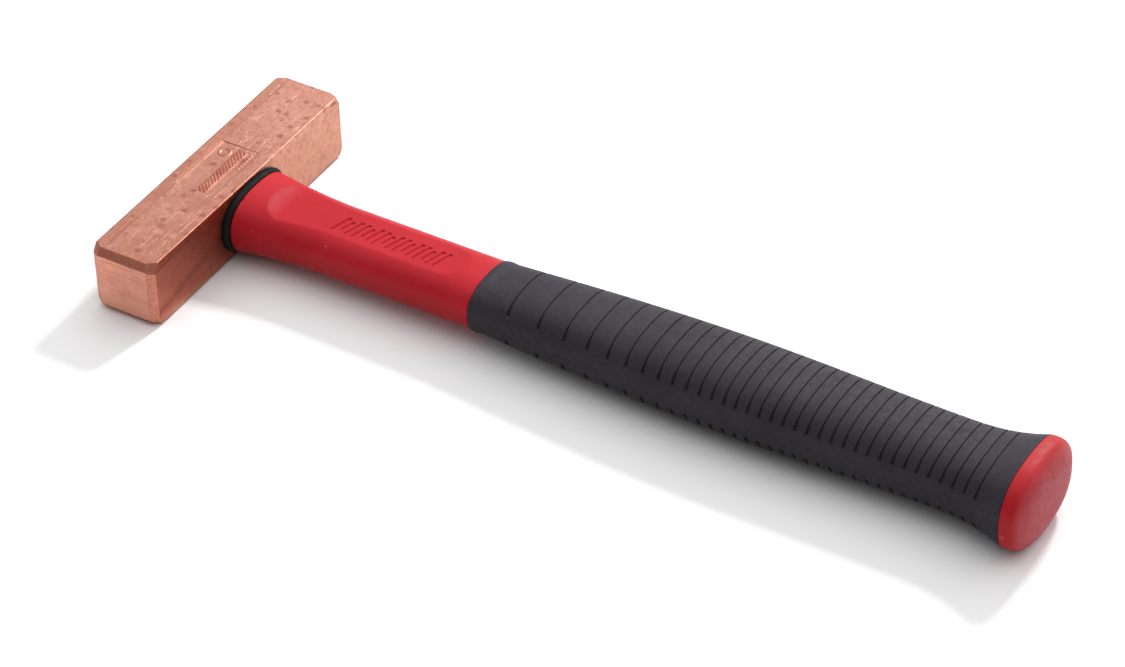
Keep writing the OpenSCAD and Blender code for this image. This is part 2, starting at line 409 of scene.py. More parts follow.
def with_lines(n, tone, lines, scratch):
    """Adds pale drawing lines along the bar and scratches, a slightly darker painted shade over the rear
    strip, and dark painted crease lines along the edges of the rear strip and ground band.
    """
    pale_lines = n.times(n.ramp(lines, 0.56, 0.72, 0.0, 0.25), n.mostly_upward)
    tone = n.mix(pale_lines, tone, rgb(236, 186, 168))
    tone = n.mix(n.times(scratch, 0.35), tone, rgb(240, 200, 182))
    # The rear strip's darker tone and the dark line at its edge are painted shade, standing in for a
    # shallow bevel.
    strip_edge = REAR_STRIP_WIDTH - HALF_SIDE
    strip = n.times(n.ramp(n.x, strip_edge - 0.2, strip_edge + 0.2, 1.0, 0.0), n.upward)
    tone = n.mix(n.times(strip, 0.2), tone, rgb(156, 92, 74))
    rear_crease_shade = n.ramp(n.off(n.x, strip_edge), 0.08, 0.32, 0.45, 0.0)
    tone = n.mix(n.times(rear_crease_shade, n.upward), tone, rgb(120, 64, 48))
    # A dark painted crease shade along the lower edge of the ground band, on the near half of the handle
    # side.
    band_rise = n.times(n.math("ADD", n.y, HALF_LENGTH), BAND_SLOPE)
    to_band = n.off(n.minus(n.z, HALF_SIDE - BAND_WIDTH), band_rise)
    band_crease_shade = n.times(n.near_half, n.ramp(to_band, 0.1, 0.5, 0.5, 0.0))
    return n.mix(band_crease_shade, tone, rgb(104, 50, 38))


def with_patina(n, tone):
    """Adds the dark patina caught in the stamp's knurled strip."""
    across = n.ramp(n.off(n.x, STRIP_MIDDLE[0]), STRIP_HALF[0] - 0.4, STRIP_HALF[0] + 0.8, 1.0, 0.0)
    lengthwise = n.ramp(n.off(n.y, STRIP_MIDDLE[1]), STRIP_HALF[1] - 0.6, STRIP_HALF[1] + 1.0, 0.4, 0.0)
    return n.mix(n.times(n.times(across, lengthwise), n.upward), tone, rgb(120, 66, 48))


def with_ground_ends(n, tone, face_lines, upper_lines, ground):
    """Adds the machining lines across the striking faces and the coarse grinding of their chamfers."""
    line_shade = n.times(n.ramp(face_lines, 0.38, 0.7), upper_lines)
    face_tone = n.mix(line_shade, rgb(226, 162, 140), rgb(196, 126, 103))
    face_tone = n.mix(n.ramp(n.noise(0.2, 4.0), 0.45, 0.7, 0.0, 0.3), face_tone, rgb(196, 124, 98))
    ground_tone = n.mix(n.ramp(ground, 0.3, 0.7), rgb(230, 162, 139), rgb(180, 110, 90))
    ground_tone = n.mix(n.top_of_chamfer, ground_tone, rgb(158, 92, 76))
    return n.mix(n.chamfer, n.mix(n.end_face, tone, face_tone), ground_tone)


def copper_material():
    n = CopperNodes()
    lines = n.noise(1.0, 3.0, 0.6, stretch=(2.2, 0.035, 2.2))
    scratch_field = n.noise(1.0, 1.0, 0.5, stretch=(0.42, 0.018, 0.42), distortion=0.3)
    scratch = n.ramp(n.off(scratch_field, 0.5), 0.0, 0.011, 1.0, 0.0)
    scratch = n.times(scratch, n.times(n.ramp(n.noise(0.07, 2.0), 0.46, 0.6), n.upward))
    face_lines = n.noise(1.0, 4.0, 0.65, stretch=(0.05, 1.0, 1.7), distortion=0.2)
    upper_lines = n.ramp(n.z, -9.0, 8.0, 0.3, 1.0)
    ground = n.noise(2.0, 3.0, 0.7)
    tone = with_tarnish(n, bar_colour_and_reflections(n))
    tone = with_lines(n, tone, lines, scratch)
    tone = with_patina(n, tone)
    n.set("Base Color", with_ground_ends(n, tone, face_lines, upper_lines, ground))
    n.set("Metallic", 1.0)
    polish = n.ramp(n.noise(0.3, 4.0), 0.3, 0.7, 0.4, 0.54)
    n.set("Roughness", n.math("ADD", polish, n.times(n.chamfer, 0.12)))
    relief = n.bump(n.noise(0.9, 5.0, 0.6), 0.13)
    relief = n.bump(lines, 0.06, relief)
    relief = n.bump(n.minus(1.0, scratch), 0.05, relief)
    relief = n.bump(n.times(n.times(face_lines, upper_lines), n.end_face), 0.12, relief)
    relief = n.bump(n.times(ground, n.chamfer), 0.22, relief)
    n.set("Normal", relief)
    return n.material


def red_material():
    n = Nodes("red_moulding")
    nz = n.facing()[2]
    drift = n.ramp(n.noise(0.03, 3.0), 0.3, 0.7)
    tone = n.mix(drift, rgb(185, 33, 44), rgb(176, 26, 38))
    # Faces that point down, and less so the sides, are painted darker red: painted shade underneath.
    tone = n.mix(n.ramp(nz, -0.5, 0.4, 0.8, 0.0), tone, rgb(146, 9, 19))
    cloud = n.ramp(n.noise(0.5, 4.0, 0.6), 0.45, 0.8, 0.0, 0.16)
    tone = n.mix(cloud, tone, rgb(200, 50, 56))
    specks = n.ramp(n.cells(0.11), 0.018, 0.03, 0.7, 0.0)
    tone = n.mix(specks, tone, rgb(238, 150, 146))
    n.set("Base Color", tone)
    n.set("Roughness", n.ramp(n.noise(0.25, 5.0), 0.3, 0.7, 0.42, 0.54))
    n.set("Specular IOR Level", 0.14)
    relief = n.bump(n.noise(3.0, 3.0, 0.6), 0.055)
    n.set("Normal", n.bump(n.noise(0.12, 2.0), 0.12, relief))
    return n.material


def cap_material():
    """The jacket's red, with the cap's flat end paler, partly from wear and partly as a painted sheen, and
    two small specks in it.
    """
    n = Nodes("red_cap_moulding")
    flat_end = n.ramp(n.facing()[0], 0.3, 0.88)
    tone = n.mix(n.ramp(n.noise(0.05, 3.0), 0.3, 0.7), rgb(178, 24, 33), rgb(168, 19, 28))
    # The paler flat end is partly wear and partly a painted sheen of light on that face.
    wear_and_sheen = n.mix(n.ramp(n.noise(0.3, 5.0, 0.65), 0.35, 0.75), rgb(168, 60, 67), rgb(174, 70, 76))
    tone = n.mix(n.times(flat_end, 0.85), tone, wear_and_sheen)
    specks = n.math("MINIMUM", *(n.distance(place) for place in CAP_SPECKS))
    specks = n.ramp(specks, 0.25, 0.6, 1.0, 0.0)
    tone = n.mix(n.times(specks, 0.6), tone, rgb(104, 26, 34))
    gate_tone = n.ramp(n.distance(GATE_PLACE), 0.4, 1.1, 0.6, 0.0)
    tone = n.mix(gate_tone, tone, rgb(228, 98, 98))
    n.set("Base Color", tone)
    n.set("Roughness", n.ramp(n.noise(0.25, 5.0), 0.3, 0.7, 0.46, 0.58))
    n.set("Specular IOR Level", 0.2)
    relief = n.bump(n.noise(1.8, 4.0, 0.6), 0.07)
    n.set("Normal", n.bump(n.minus(1.0, specks), 0.15, relief))
    return n.material


def grip_material():
    n = Nodes("black_soft_grip")
    drift = n.ramp(n.noise(0.04, 4.0), 0.3, 0.7)
    tone = n.mix(drift, rgb(46, 41, 50), rgb(40, 35, 44))
    # Faces that point down, and less so the sides, are painted near-black: painted shade underneath.
    tone = n.mix(n.ramp(n.facing()[2], -0.6, 0.3, 0.75, 0.0), tone, rgb(20, 17, 21))
    dust = n.ramp(n.noise(0.6, 5.0, 0.7), 0.5, 0.85, 0.0, 0.25)
    tone = n.mix(dust, tone, rgb(72, 70, 80))
    specks = n.ramp(n.cells(0.14), 0.016, 0.028, 0.6, 0.0)
    tone = n.mix(specks, tone, rgb(150, 148, 160))
    n.set("Base Color", tone)
    n.set("Roughness", n.ramp(n.noise(0.4, 4.0), 0.3, 0.7, 0.56, 0.7))
    n.set("Specular IOR Level", 0.25)
    relief = n.bump(n.noise(2.8, 3.0, 0.6), 0.05)
    n.set("Normal", n.bump(n.noise(0.2, 2.0), 0.12, relief))
    return n.material


def rubber_material():
    n = Nodes("black_rubber_ring")
    tone = n.mix(n.ramp(n.noise(0.3, 4.0), 0.35, 0.75), rgb(17, 16, 17), rgb(25, 23, 24))
    n.set("Base Color", tone)
    n.set("Roughness", n.ramp(n.noise(0.8, 3.0), 0.3, 0.7, 0.55, 0.7))
    n.set("Specular IOR Level", 0.12)
    n.set("Normal", n.bump(n.noise(2.0, 3.0), 0.04))
    return n.material


def resin_material():
    n = Nodes("cast_resin")
    tone = n.mix(n.ramp(n.noise(0.35, 4.0), 0.35, 0.7), rgb(38, 32, 30), rgb(62, 52, 46))
    n.set("Base Color", tone)
    n.set("Roughness", n.ramp(n.noise(0.9, 4.0), 0.3, 0.7, 0.25, 0.45))
    n.set("Normal", n.bump(n.noise(0.5, 4.0), 0.25))
    return n.material


def fibreglass_material():
    n = Nodes("pultruded_fibreglass")
    strands = n.noise(1.0, 4.0, 0.6, stretch=(0.02, 2.4, 2.4))
    n.set("Base Color", n.mix(n.ramp(strands, 0.3, 0.7), rgb(226, 216, 172), rgb(196, 182, 130)))
    n.set("Roughness", n.ramp(strands, 0.3, 0.7, 0.35, 0.55))
    n.set("Normal", n.bump(strands, 0.08))
    return n.material


def floor_material():
    n = Nodes("pale_floor")
    tone = n.mix(n.ramp(n.noise(0.002, 2.0), 0.3, 0.7), rgb(246, 246, 247), rgb(243, 243, 244))
    n.set("Base Color", tone)
    n.set("Roughness", n.ramp(n.noise(0.01, 2.0), 0.3, 0.7, 0.75, 0.85))
    return n.material


# ---- Profile of the handle -------------------------------------------------------------------------


def neck_half(x, axis):
    fall = (1 - share(x, JACKET_FRONT, JACKET_FRONT + NECK_TAPER)) ** 2
    return SHAFT_HALF[axis] + (NECK_HALF[axis] - SHAFT_HALF[axis]) * fall


def grip_half(x, axis):
    shaft, belly, waist, butt = (half[axis] for half in (SHAFT_HALF, BELLY_HALF, WAIST_HALF, BUTT_HALF))
    swell = shaft + (belly - shaft) * np.sin(np.pi / 2 * share(x, GRIP_FRONT, BELLY_X))
    hollow = belly - (belly - waist) * (1 - np.cos(np.pi * share(x, BELLY_X, WAIST_X))) / 2
    flare = waist + (butt - waist) * share(x, WAIST_X, BUTT_X) ** FLARE_POWER
    return np.where(x <= BELLY_X, swell, np.where(x <= WAIST_X, hollow, flare))


def tenon_row(x, angles):
    return row(x, section(grip_half(x, 0) - GRIP_WALL, grip_half(x, 1) - GRIP_WALL, angles))


def core_row(x, angles):
    return row(x, section(*CORE_HALF, angles))


def even_angles(count):
    return np.arange(count) * 2 * np.pi / count


# ---- Head ------------------------------------------------------------------------------------------

# How far from the end of the bar, and how far in from its side, the chamfer and its soft edges run
CHAMFER_STEPS = [
    (0.0, 3.3), (0.02, 3.12), (0.1, 2.92), (0.28, 2.66), (0.7, 2.09), (1.15, 1.5),
    (1.6, 0.91), (2.02, 0.36), (2.2, 0.15), (2.4, 0.03), (2.65, 0.0),
]
# Corner radii along the bar and at the striking faces, clockwise from the top rear
BODY_RADII = (0.8, 0.4, 1.6, 1.8)
FACE_RADII = (1.0, 1.0, 2.4, 4.2)
ARC_POINTS = 9
FINE_STEP = 0.25
# Stamped panel: how soft its walls are, softer at the rear, and its depth. It gets deeper by the two last
# values, toward the rear and toward the far end of the bar
PANEL_WALL = 0.22
PANEL_REAR_WALL = 1.3
PANEL_DEPTH = 0.14
PANEL_DEEPER = (0.16, 0.12)
# The plain pattern left standing in the panel: the knurl's rate, a ring and a row of dots
PATTERN_HEIGHT = 0.3
KNURL_RATE = 1.55
RING_MIDDLE = (-4.0, 10.4)
RING_RADIUS = 2.3
RING_HALF_WIDTH = 0.42
DOTS = 6
FIRST_DOT = (6.9, 3.6)
DOT_PITCH = 1.9
DOT_RADIUS = 0.6
# Ground front edge: how far it's cut back, and the burr above it
BAND_CUT = 0.5
BURR_HEIGHT = 0.07
# Small slot in the ground edge near the far end: its Y, its middle below the top, and its depth
SLOT_Y = 60.5
SLOT_DROP = 1.7
SLOT_DEPTH = 0.6


def spread(low, high, step):
    return np.linspace(low, high, max(2, int(round((high - low) / step)) + 1))


def stamp_height(x, y):
    """The stamped panel on the top cheek and the plain pattern in it, in millimetres below the cheek."""
    half_x, half_y = PANEL_HALF
    deeper_x = PANEL_DEEPER[0] * share(-x, -half_x, half_x)
    deeper_y = PANEL_DEEPER[1] * share(y, 0.0, half_y)
    panel = (PANEL_DEPTH + deeper_x + deeper_y) * smooth_step(half_x - x, -PANEL_WALL, PANEL_WALL)
    panel *= smooth_step(half_y - np.abs(y), -PANEL_WALL, PANEL_WALL)
    panel *= smooth_step(half_x + x, -PANEL_REAR_WALL, PANEL_REAR_WALL)
    off_x, off_y = np.abs(x - STRIP_MIDDLE[0]), np.abs(y - STRIP_MIDDLE[1])
    strip = np.maximum(off_x - STRIP_HALF[0], off_y - STRIP_HALF[1])
    knurl = np.maximum(np.abs(np.sin((x + y) * KNURL_RATE)), np.abs(np.sin((x - y) * KNURL_RATE)))
    relief = smooth_step(-strip, -0.12, 0.2) * smooth_step(knurl, 0.72, 0.98)
    off_ring = np.abs(np.hypot(x - RING_MIDDLE[0], y - RING_MIDDLE[1]) - RING_RADIUS)
    relief = np.maximum(relief, smooth_step(RING_HALF_WIDTH - off_ring, -0.15, 0.15))
    for k in range(DOTS):
        off_dot = np.hypot(x - FIRST_DOT[0], y - (FIRST_DOT[1] + DOT_PITCH * k))
        relief = np.maximum(relief, smooth_step(DOT_RADIUS - off_dot, -0.14, 0.14))
    return panel - PATTERN_HEIGHT * relief


def wobble(a, b, seed, reach):
    """Smooth random drift over a and b, from a few fixed waves."""
    rng = np.random.default_rng(seed)
    total = np.zeros_like(a)
    for _ in range(7):
        direction = rng.uniform(0, 2 * np.pi)
        rate = rng.uniform(0.4, 1.6) * 2 * np.pi / reach
        total += np.sin(rate * (a * np.cos(direction) + b * np.sin(direction)) + rng.uniform(0, 6.3))
    return total / 7


def corner_curve(half, size, radius, first):
    """Points round one corner of the bar, a soft round where size is the radius and a flat cut where it is
    more. first is the angle at which the corner starts, and it runs clockwise from there."""
    turn = np.radians(first - np.linspace(0, 90, ARC_POINTS))
    start, end = np.radians(first), np.radians(first - 90)
    arc = np.stack([np.cos(turn), np.sin(turn)], axis=-1)
    corner = np.array([np.cos(start) + np.cos(end), np.sin(start) + np.sin(end)])
    along_cut = np.linspace(0, 1, ARC_POINTS)[:, None]
    flat = (1 - along_cut) * arc[0] + along_cut * arc[-1]
    roundness = min(1.0, radius / size) ** 1.5
    curve = flat + (arc - flat) * roundness
    return corner * (half - size) + curve * size


def head_row(y, inset, top_shares, side_shares, base_shares):
    """One closed row round the bar at y, pulled in by inset on each side and cut at its corners."""
    t = inset / CHAMFER_STEPS[0][1]
    half = HALF_SIDE - inset
    slope = CORNER_LENGTH / CORNER_WIDTH
    start = HALF_LENGTH - CHAMFER_LENGTH - CORNER_LENGTH
    cut = 2 * half - 2 * HALF_SIDE + (abs(y) - start) / slope
    curves = []
    for k, (body, face) in enumerate(zip(BODY_RADII, FACE_RADII)):
        radius = body + (face - body) * t
        size = max(radius, cut)
        curves.append(corner_curve(half, size, radius, (180, 90, 0, -90)[k]))
    spans = (top_shares, side_shares, base_shares, 1 - side_shares[::-1])
    outline = []
    for k, shares in enumerate(spans):
        begin, finish = curves[k][-1], curves[(k + 1) % 4][0]
        outline += [begin + (finish - begin) * share_along for share_along in shares]
        outline += list(curves[(k + 1) % 4][1:-1])
    x, z = np.array(outline).T
    return np.stack([x, np.full_like(x, y), z], axis=-1)


def shaped_head(points):
    """Adds the stamp, the ground front edge, its burr and slot, and slight unevenness to the plain bar."""
    x, y, z = points[..., 0].copy(), points[..., 1].copy(), points[..., 2].copy()
    on_cheek = z > HALF_SIDE - 0.9
    z -= np.where(on_cheek, stamp_height(x, y), 0.0)
    band = np.maximum(0.8, BAND_WIDTH - BAND_SLOPE * (y + HALF_LENGTH))
    front = smooth_step(x, HALF_SIDE - 4.5, HALF_SIDE - 2.0)
    x -= BAND_CUT * share(z - (HALF_SIDE - band), 0.0, 3.5) * front * (z > 0)
    burr = np.exp(-(((x - (HALF_SIDE - 1.0)) / 0.3) ** 2)) * on_cheek
    z += BURR_HEIGHT * burr * (0.6 + 0.4 * wobble(y, x, 5, 9.0))
    slot = np.exp(-(((y - SLOT_Y) / 2.4) ** 4)) * np.exp(-(((z - (HALF_SIDE - SLOT_DROP)) / 0.4) ** 2))
    x -= SLOT_DEPTH * slot * front
    swell = 0.06 * wobble(y, z, 11, 38.0)
    x += np.sign(x) * swell * (np.abs(x) > HALF_SIDE - 4.0)
    z += 0.05 * wobble(x, y, 12, 30.0) * on_cheek
    edge = smooth_step(np.abs(y), HALF_LENGTH - 4.5, HALF_LENGTH - 2.0)
    y = y + np.sign(y) * 0.08 * edge * wobble(x * 1.7, z * 1.7, 13, 9.0)
    return np.stack([x, y, z], axis=-1)


def eye_half(x):
    """The eye's half width and half height: a waist in the middle and a flare to both mouths."""
    flare = min(abs(x) / HALF_SIDE, 1.0)
    return [waist + (mouth - waist) * flare for waist, mouth in zip(EYE_WAIST_HALF, EYE_MOUTH_HALF)]


def eye_cutter():
    angles = even_angles(96)
    past = HALF_SIDE + 1.0
    rows = [row(float(x), stadium(*eye_half(x), angles)) for x in spread(-past, past, 1.0)]
    return skin("eye_cutter", rows, poles=[(-past, 0, 0), (past, 0, 0)])


def make_head(material):
    left, right = -HALF_SIDE + BODY_RADII[0], HALF_SIDE - BODY_RADII[1]
    panel = PANEL_HALF[0] + 0.6
    top_x = np.concatenate([
        spread(left, -panel - 0.6, 0.9), spread(-panel, panel, FINE_STEP),
        spread(panel + 0.8, right - 1.0, 0.8), spread(right - 0.8, right, 0.16),
    ])
    top_shares = (top_x - left) / (right - left)
    side_shares = np.concatenate([spread(0, 0.16, 0.016), spread(0.2, 1, 0.05)])
    base_shares = spread(0, 1, 0.045)
    long_half = PANEL_HALF[1] + 0.6
    inner_end = HALF_LENGTH - CHAMFER_STEPS[-1][0]
    corner_end = HALF_LENGTH - CHAMFER_LENGTH - CORNER_LENGTH - 0.8
    near_corner = spread(corner_end, inner_end, 0.35)[:-1]
    plain = spread(long_half, corner_end, 1.1)[1:-1]
    half_body = np.concatenate([plain, near_corner])
    body = np.concatenate([-half_body[::-1], spread(-long_half, long_half, FINE_STEP), half_body])
    shares = (top_shares, side_shares, base_shares)
    start = [head_row(-HALF_LENGTH + depth, inset, *shares) for depth, inset in CHAMFER_STEPS]
    middle = [head_row(y, 0.0, *shares) for y in body]
    end = [head_row(HALF_LENGTH - depth, inset, *shares) for depth, inset in reversed(CHAMFER_STEPS)]
    rows = shaped_head(np.array(start + middle + end))
    faces = []
    for edge_row, side in ((rows[0], -1), (rows[-1], 1)):
        centre = np.array([0.0, side * HALF_LENGTH, 0.0])
        faces.append([centre + (edge_row - centre) * size for size in (0.96, 0.8, 0.5, 0.2)])
    closed = np.array(faces[0][::-1] + list(rows) + faces[1])
    poles = [(0, -HALF_LENGTH, 0), (0, HALF_LENGTH, 0)]
    piece = skin("copper_head", closed, poles=poles, sharp_degrees=40.0)
    cutter = eye_cutter()
    cut = piece.modifiers.new("eye", "BOOLEAN")
    cut.operation = "DIFFERENCE"
    cut.solver = "EXACT"
    cut.object = cutter
    shown = bpy.context.evaluated_depsgraph_get()
    cut_mesh = bpy.data.meshes.new_from_object(piece.evaluated_get(shown))
    piece.modifiers.clear()
    piece.data = cut_mesh
    bpy.data.objects.remove(cutter)
    return finished(piece, "head", material)


# ---- Potting and gasket ------------------------------------------------------------------------------

# The resin's sunken surface at the eye's rear mouth: share of the mouth's size, and depth below the cheek
MENISCUS = [(0.96, 0.12), (0.86, 0.3), (0.65, 0.42), (0.35, 0.5), (0.1, 0.52)]
# Rubber ring: its rounded edges at the head and at the jacket, and how full its middle is
GASKET_HEAD_EDGE = 0.35
GASKET_JACKET_EDGE = 0.3
GASKET_BULGE = 0.3


def make_potting(material):
    angles = even_angles(96)
    rows = [core_row(x, angles) for x in (CORE_START, SPIGOT_END)]
    for x in np.linspace(SPIGOT_END, -HALF_SIDE, 19):
        rows.append(row(float(x), stadium(*eye_half(x), angles)))
    for size, sink in MENISCUS:
        half = [size * h for h in EYE_MOUTH_HALF]
        rows.append(row(-HALF_SIDE + sink, stadium(*half, angles)))
    poles = [(CORE_START, 0, 0), (-HALF_SIDE + MENISCUS[-1][1], 0, 0)]
    piece = skin("eye_resin", rows, poles=poles)
    return finished(piece, "eye_potting", material)


def gasket_squeeze(t):
    """How far the ring's skin is pulled in at t, which runs from 0 at the head to 1 at the jacket."""
    head_edge = GASKET_HEAD_EDGE * (1 - math.sin(math.pi * min(t * 6, 1) / 2))
    jacket_edge = GASKET_JACKET_EDGE * max(0.0, (t - 0.85) / 0.15) ** 2
    return head_edge + jacket_edge - GASKET_BULGE * math.sin(math.pi * t)


def make_gasket(material):
    angles = even_angles(160)
    rows = [row(SPIGOT_END, stadium(*eye_half(SPIGOT_END), angles))]
    rows.append(row(HALF_SIDE, stadium(*EYE_MOUTH_HALF, angles)))
    length = JACKET_FRONT - LIP_COVER - HALF_SIDE
    for t in (0.0, 0.03, 0.1, 0.25, 0.4, 0.55, 0.7, 0.85, 0.95, 1.0):
        squeeze = gasket_squeeze(t)
        half = [wide - (wide - slim) * t * t - squeeze for wide, slim in zip(GASKET_HALF, NECK_HALF)]
        rows.append(row(HALF_SIDE + t * length, section(*half, angles)))
    rows.append(core_row(JACKET_FRONT - LIP_COVER, angles))
    rows.append(core_row(SPIGOT_END, angles))
    piece = skin("neck_ring", rows, ring=True)
    return finished(piece, "neck_gasket", material)


# ---- Red jacket ----------------------------------------------------------------------------------------

EDGE_ROUND = 0.9
BACK_EDGE_ROUND = 0.3
# Label recess: how far each end's curve runs past its ramp, and how fast it flattens out
RECESS_RUN_OUT = 2.5
RECESS_CURVE = 1.7
# Half width of the flat top that gets a fine mesh for the mark
FINE_HALF = 9.6
# Row of plain bars in the recess. Every third bar is shorter than the others
MARK_FROM = 60.0
MARK_TO = 107.5
MARK_Y = -1.0
MARK_BARS = 16
MARK_REACH = (4.6, 3.1)
MARK_HALF_WIDTH = 0.7
MARK_DEPTH = 0.6
MARK_LEAN = 0.3
# Small nick in the front lip's top: its Y and its depth
NICK_Y = -9.8
NICK_DEPTH = 0.5


def recess_ceiling(x):
    """The label recess: a crisp step down at each end that flattens out into a level floor."""
    reach = RECESS_RAMP + RECESS_RUN_OUT
    into_front, into_back = share(x - RECESS_FROM, 0.0, reach), share(RECESS_TO - x, 0.0, reach)
    front = (neck_half(RECESS_FROM, 1) - RECESS_LEVEL) * (1 - into_front) ** RECESS_CURVE
    back = (SHAFT_HALF[1] - RECESS_LEVEL) * (1 - into_back) ** RECESS_CURVE
    return RECESS_LEVEL + front + back


def mark_depth(x, y):
    """A row of plain leaning bars sunk in the recess."""
    depth = np.zeros_like(y)
    for k in range(MARK_BARS):
        middle = MARK_FROM + (MARK_TO - MARK_FROM) * k / (MARK_BARS - 1)
        reach = MARK_REACH[1] if k % 3 == 1 else MARK_REACH[0]
        across = np.abs(x - middle - MARK_LEAN * y) - MARK_HALF_WIDTH
        inside = -np.maximum(across, np.abs(y - MARK_Y) - reach)
        depth = np.maximum(depth, smooth_step(inside, -0.2, 0.2))
    return MARK_DEPTH * depth


def jacket_angles():
    """Close together across the flat top, wider apart round the sides and below."""
    fine = spread(-FINE_HALF, FINE_HALF, FINE_STEP)
    cosine = np.sign(fine) * (np.abs(fine) / SHAFT_HALF[0]) ** (SECTION_POWER / 2)
    top = np.arccos(cosine[::-1])
    rest = np.linspace(top[-1], 2 * np.pi + top[0], 120)[1:-1]
    return np.concatenate([top, rest])


def jacket_row(x, angles):
    front = JACKET_FRONT - LIP_COVER
    lip = EDGE_ROUND - math.sqrt(EDGE_ROUND**2 - max(0.0, EDGE_ROUND - (x - front)) ** 2)
    back_lip = BACK_EDGE_ROUND * max(0.0, 1 - (GRIP_FRONT - x) / BACK_EDGE_ROUND) ** 2
    inset = lip + back_lip
    y, z = section(neck_half(x, 0) - inset, neck_half(x, 1) - inset, angles)
    ceiling = recess_ceiling(x)
    height = soft_min(np.abs(z), ceiling, 0.2) if RECESS_FROM <= x <= RECESS_TO else np.abs(z)
    top = (z > RECESS_LEVEL - 2.5).astype(float)
    height = height - mark_depth(x, y) * top
    nick = math.exp(-(((x - JACKET_FRONT - 0.1) / 0.5) ** 2)) * np.exp(-(((y - NICK_Y) / 0.8) ** 2))
    height = height - NICK_DEPTH * nick * top
    return row(x, (y, np.sign(z) * height))


def make_jacket(material):
    angles = jacket_angles()
    front = JACKET_FRONT - LIP_COVER
    lip = front + EDGE_ROUND * np.array([0.0, 0.03, 0.1, 0.22, 0.4, 0.65, 1.0])
    stations = np.concatenate([
        lip, spread(front + 1.4, MARK_FROM - 3, 0.5), spread(MARK_FROM - 2.8, MARK_TO + 2.8, FINE_STEP),
        spread(MARK_TO + 3.2, GRIP_FRONT - 0.6, 0.5), GRIP_FRONT - np.array([0.3, 0.15, 0.05, 0.0]),
    ])
    rows = [jacket_row(float(x), angles) for x in stations]
    rows += [tenon_row(float(x), angles) for x in spread(GRIP_FRONT, JACKET_END, 6.0)]
    rows += [core_row(JACKET_END, angles), core_row(front, angles)]
    piece = skin("red_jacket", rows, ring=True)
    return finished(piece, "handle_jacket", material)


# ---- Black grip ----------------------------------------------------------------------------------------

GROOVES = 34
FIRST_GROOVE = 17.8
# Grooves are closer together toward the butt: an extra pitch that shrinks from one to the next
GROOVE_PITCH = 5.06
EXTRA_PITCH = 9.85
PITCH_DECAY = 0.798
EXTRA_CUT = 0.65
# Half width and depth over the middle of the groove, and at its ends
GROOVE_HALF = (0.28, 0.74)
GROOVE_DEPTH = (0.6, 1.1)
# Height above or below the handle's axis at which a groove ends, at the grip's front and at the butt
UPPER_STOP = (7.1, 5.8)
LOWER_STOP = (3.8, 5.6)
# How far a groove's middle bows toward the butt, at the grip's front and at the butt
GROOVE_BOW = (0.0, 2.0)
BOW_POWER = 1.5
# How far its ends lean the same way
END_LEAN = 0.3
# Front lip of the grip: how far it stands proud, and how far back
LIP_PROUD = 0.45
LIP_AT = 2.2
# Rounding of the grip's front edge, and the length and depth of the rounding at its back edge
GRIP_FRONT_ROUND = 0.5
GRIP_BACK_ROUND = (0.6, 0.55)
# Places of the rows before the first groove, from the front, and after the last, from the butt
ROWS_BEFORE_GROOVES = [
    0.0, 0.05, 0.12, 0.25, 0.4, 0.6, 0.9, 1.3, 1.8, 2.5, 3.5, 5.0, 7.0, 10.0, 13.0, 16.0,
]
ROWS_AFTER_GROOVES = [7.0, 5.0, 3.5, 2.2, 1.2, 0.6, 0.4, 0.25, 0.12, 0.05, 0.0]
# Cross-section of a groove: place across it as a share of its half width, and share of its depth
GROOVE_SHAPE = [
    (-1.9, 0.0), (-1.25, 0.02), (-1.0, 0.14), (-0.78, 0.62), (-0.45, 0.95), (0.0, 1.0),
    (0.45, 0.95), (0.78, 0.62), (1.0, 0.14), (1.25, 0.02), (1.9, 0.0),
]


def groove_positions():
    x = GRIP_FRONT + FIRST_GROOVE
    for k in range(GROOVES):
        yield x
        x += GROOVE_PITCH + max(0.0, EXTRA_PITCH * PITCH_DECAY**k - EXTRA_CUT)


def groove_rows(middle, angles):
    """Rows across one groove, which runs over the top and again underneath but not round the sides."""
    t = share(middle, GRIP_FRONT, BUTT_X)
    upper, lower = (stop[0] + (stop[1] - stop[0]) * t for stop in (UPPER_STOP, LOWER_STOP))
    bow = GROOVE_BOW[0] + (GROOVE_BOW[1] - GROOVE_BOW[0]) * t**BOW_POWER
    half_z = float(grip_half(middle, 1))
    height = section(float(grip_half(middle, 0)), half_z, angles)[1]
    stop = np.where(height > 0, upper, lower)
    above = np.abs(height) - stop
    widening = 1 - smooth_step(above, 0.6, 5.0)
    half_width = GROOVE_HALF[0] + (GROOVE_HALF[1] - GROOVE_HALF[0]) * widening
    depth = GROOVE_DEPTH[0] + (GROOVE_DEPTH[1] - GROOVE_DEPTH[0]) * widening
    depth = depth * smooth_step(above, -0.5, 0.5)
    lean = bow * share(above, 0.0, half_z - stop) + END_LEAN * widening
    rows = []
    for across, sink in GROOVE_SHAPE:
        x = middle + lean + across * half_width
        y, z = section(grip_half(x, 0) - sink * depth, grip_half(x, 1) - sink * depth, angles)
        rows.append(row(x, (y, z)))
    return rows


def plain_grip_row(x, angles):
    front = GRIP_FRONT_ROUND * max(0.0, 1 - (x - GRIP_FRONT) / GRIP_FRONT_ROUND) ** 2
    back_length, back_depth = GRIP_BACK_ROUND
    back = back_depth * max(0.0, 1 - (BUTT_X - x) / back_length) ** 2
    proud = LIP_PROUD * math.exp(-(((x - GRIP_FRONT - LIP_AT) / LIP_AT) ** 2))
    shift = proud - front - back
    return row(x, section(float(grip_half(x, 0)) + shift, float(grip_half(x, 1)) + shift, angles))


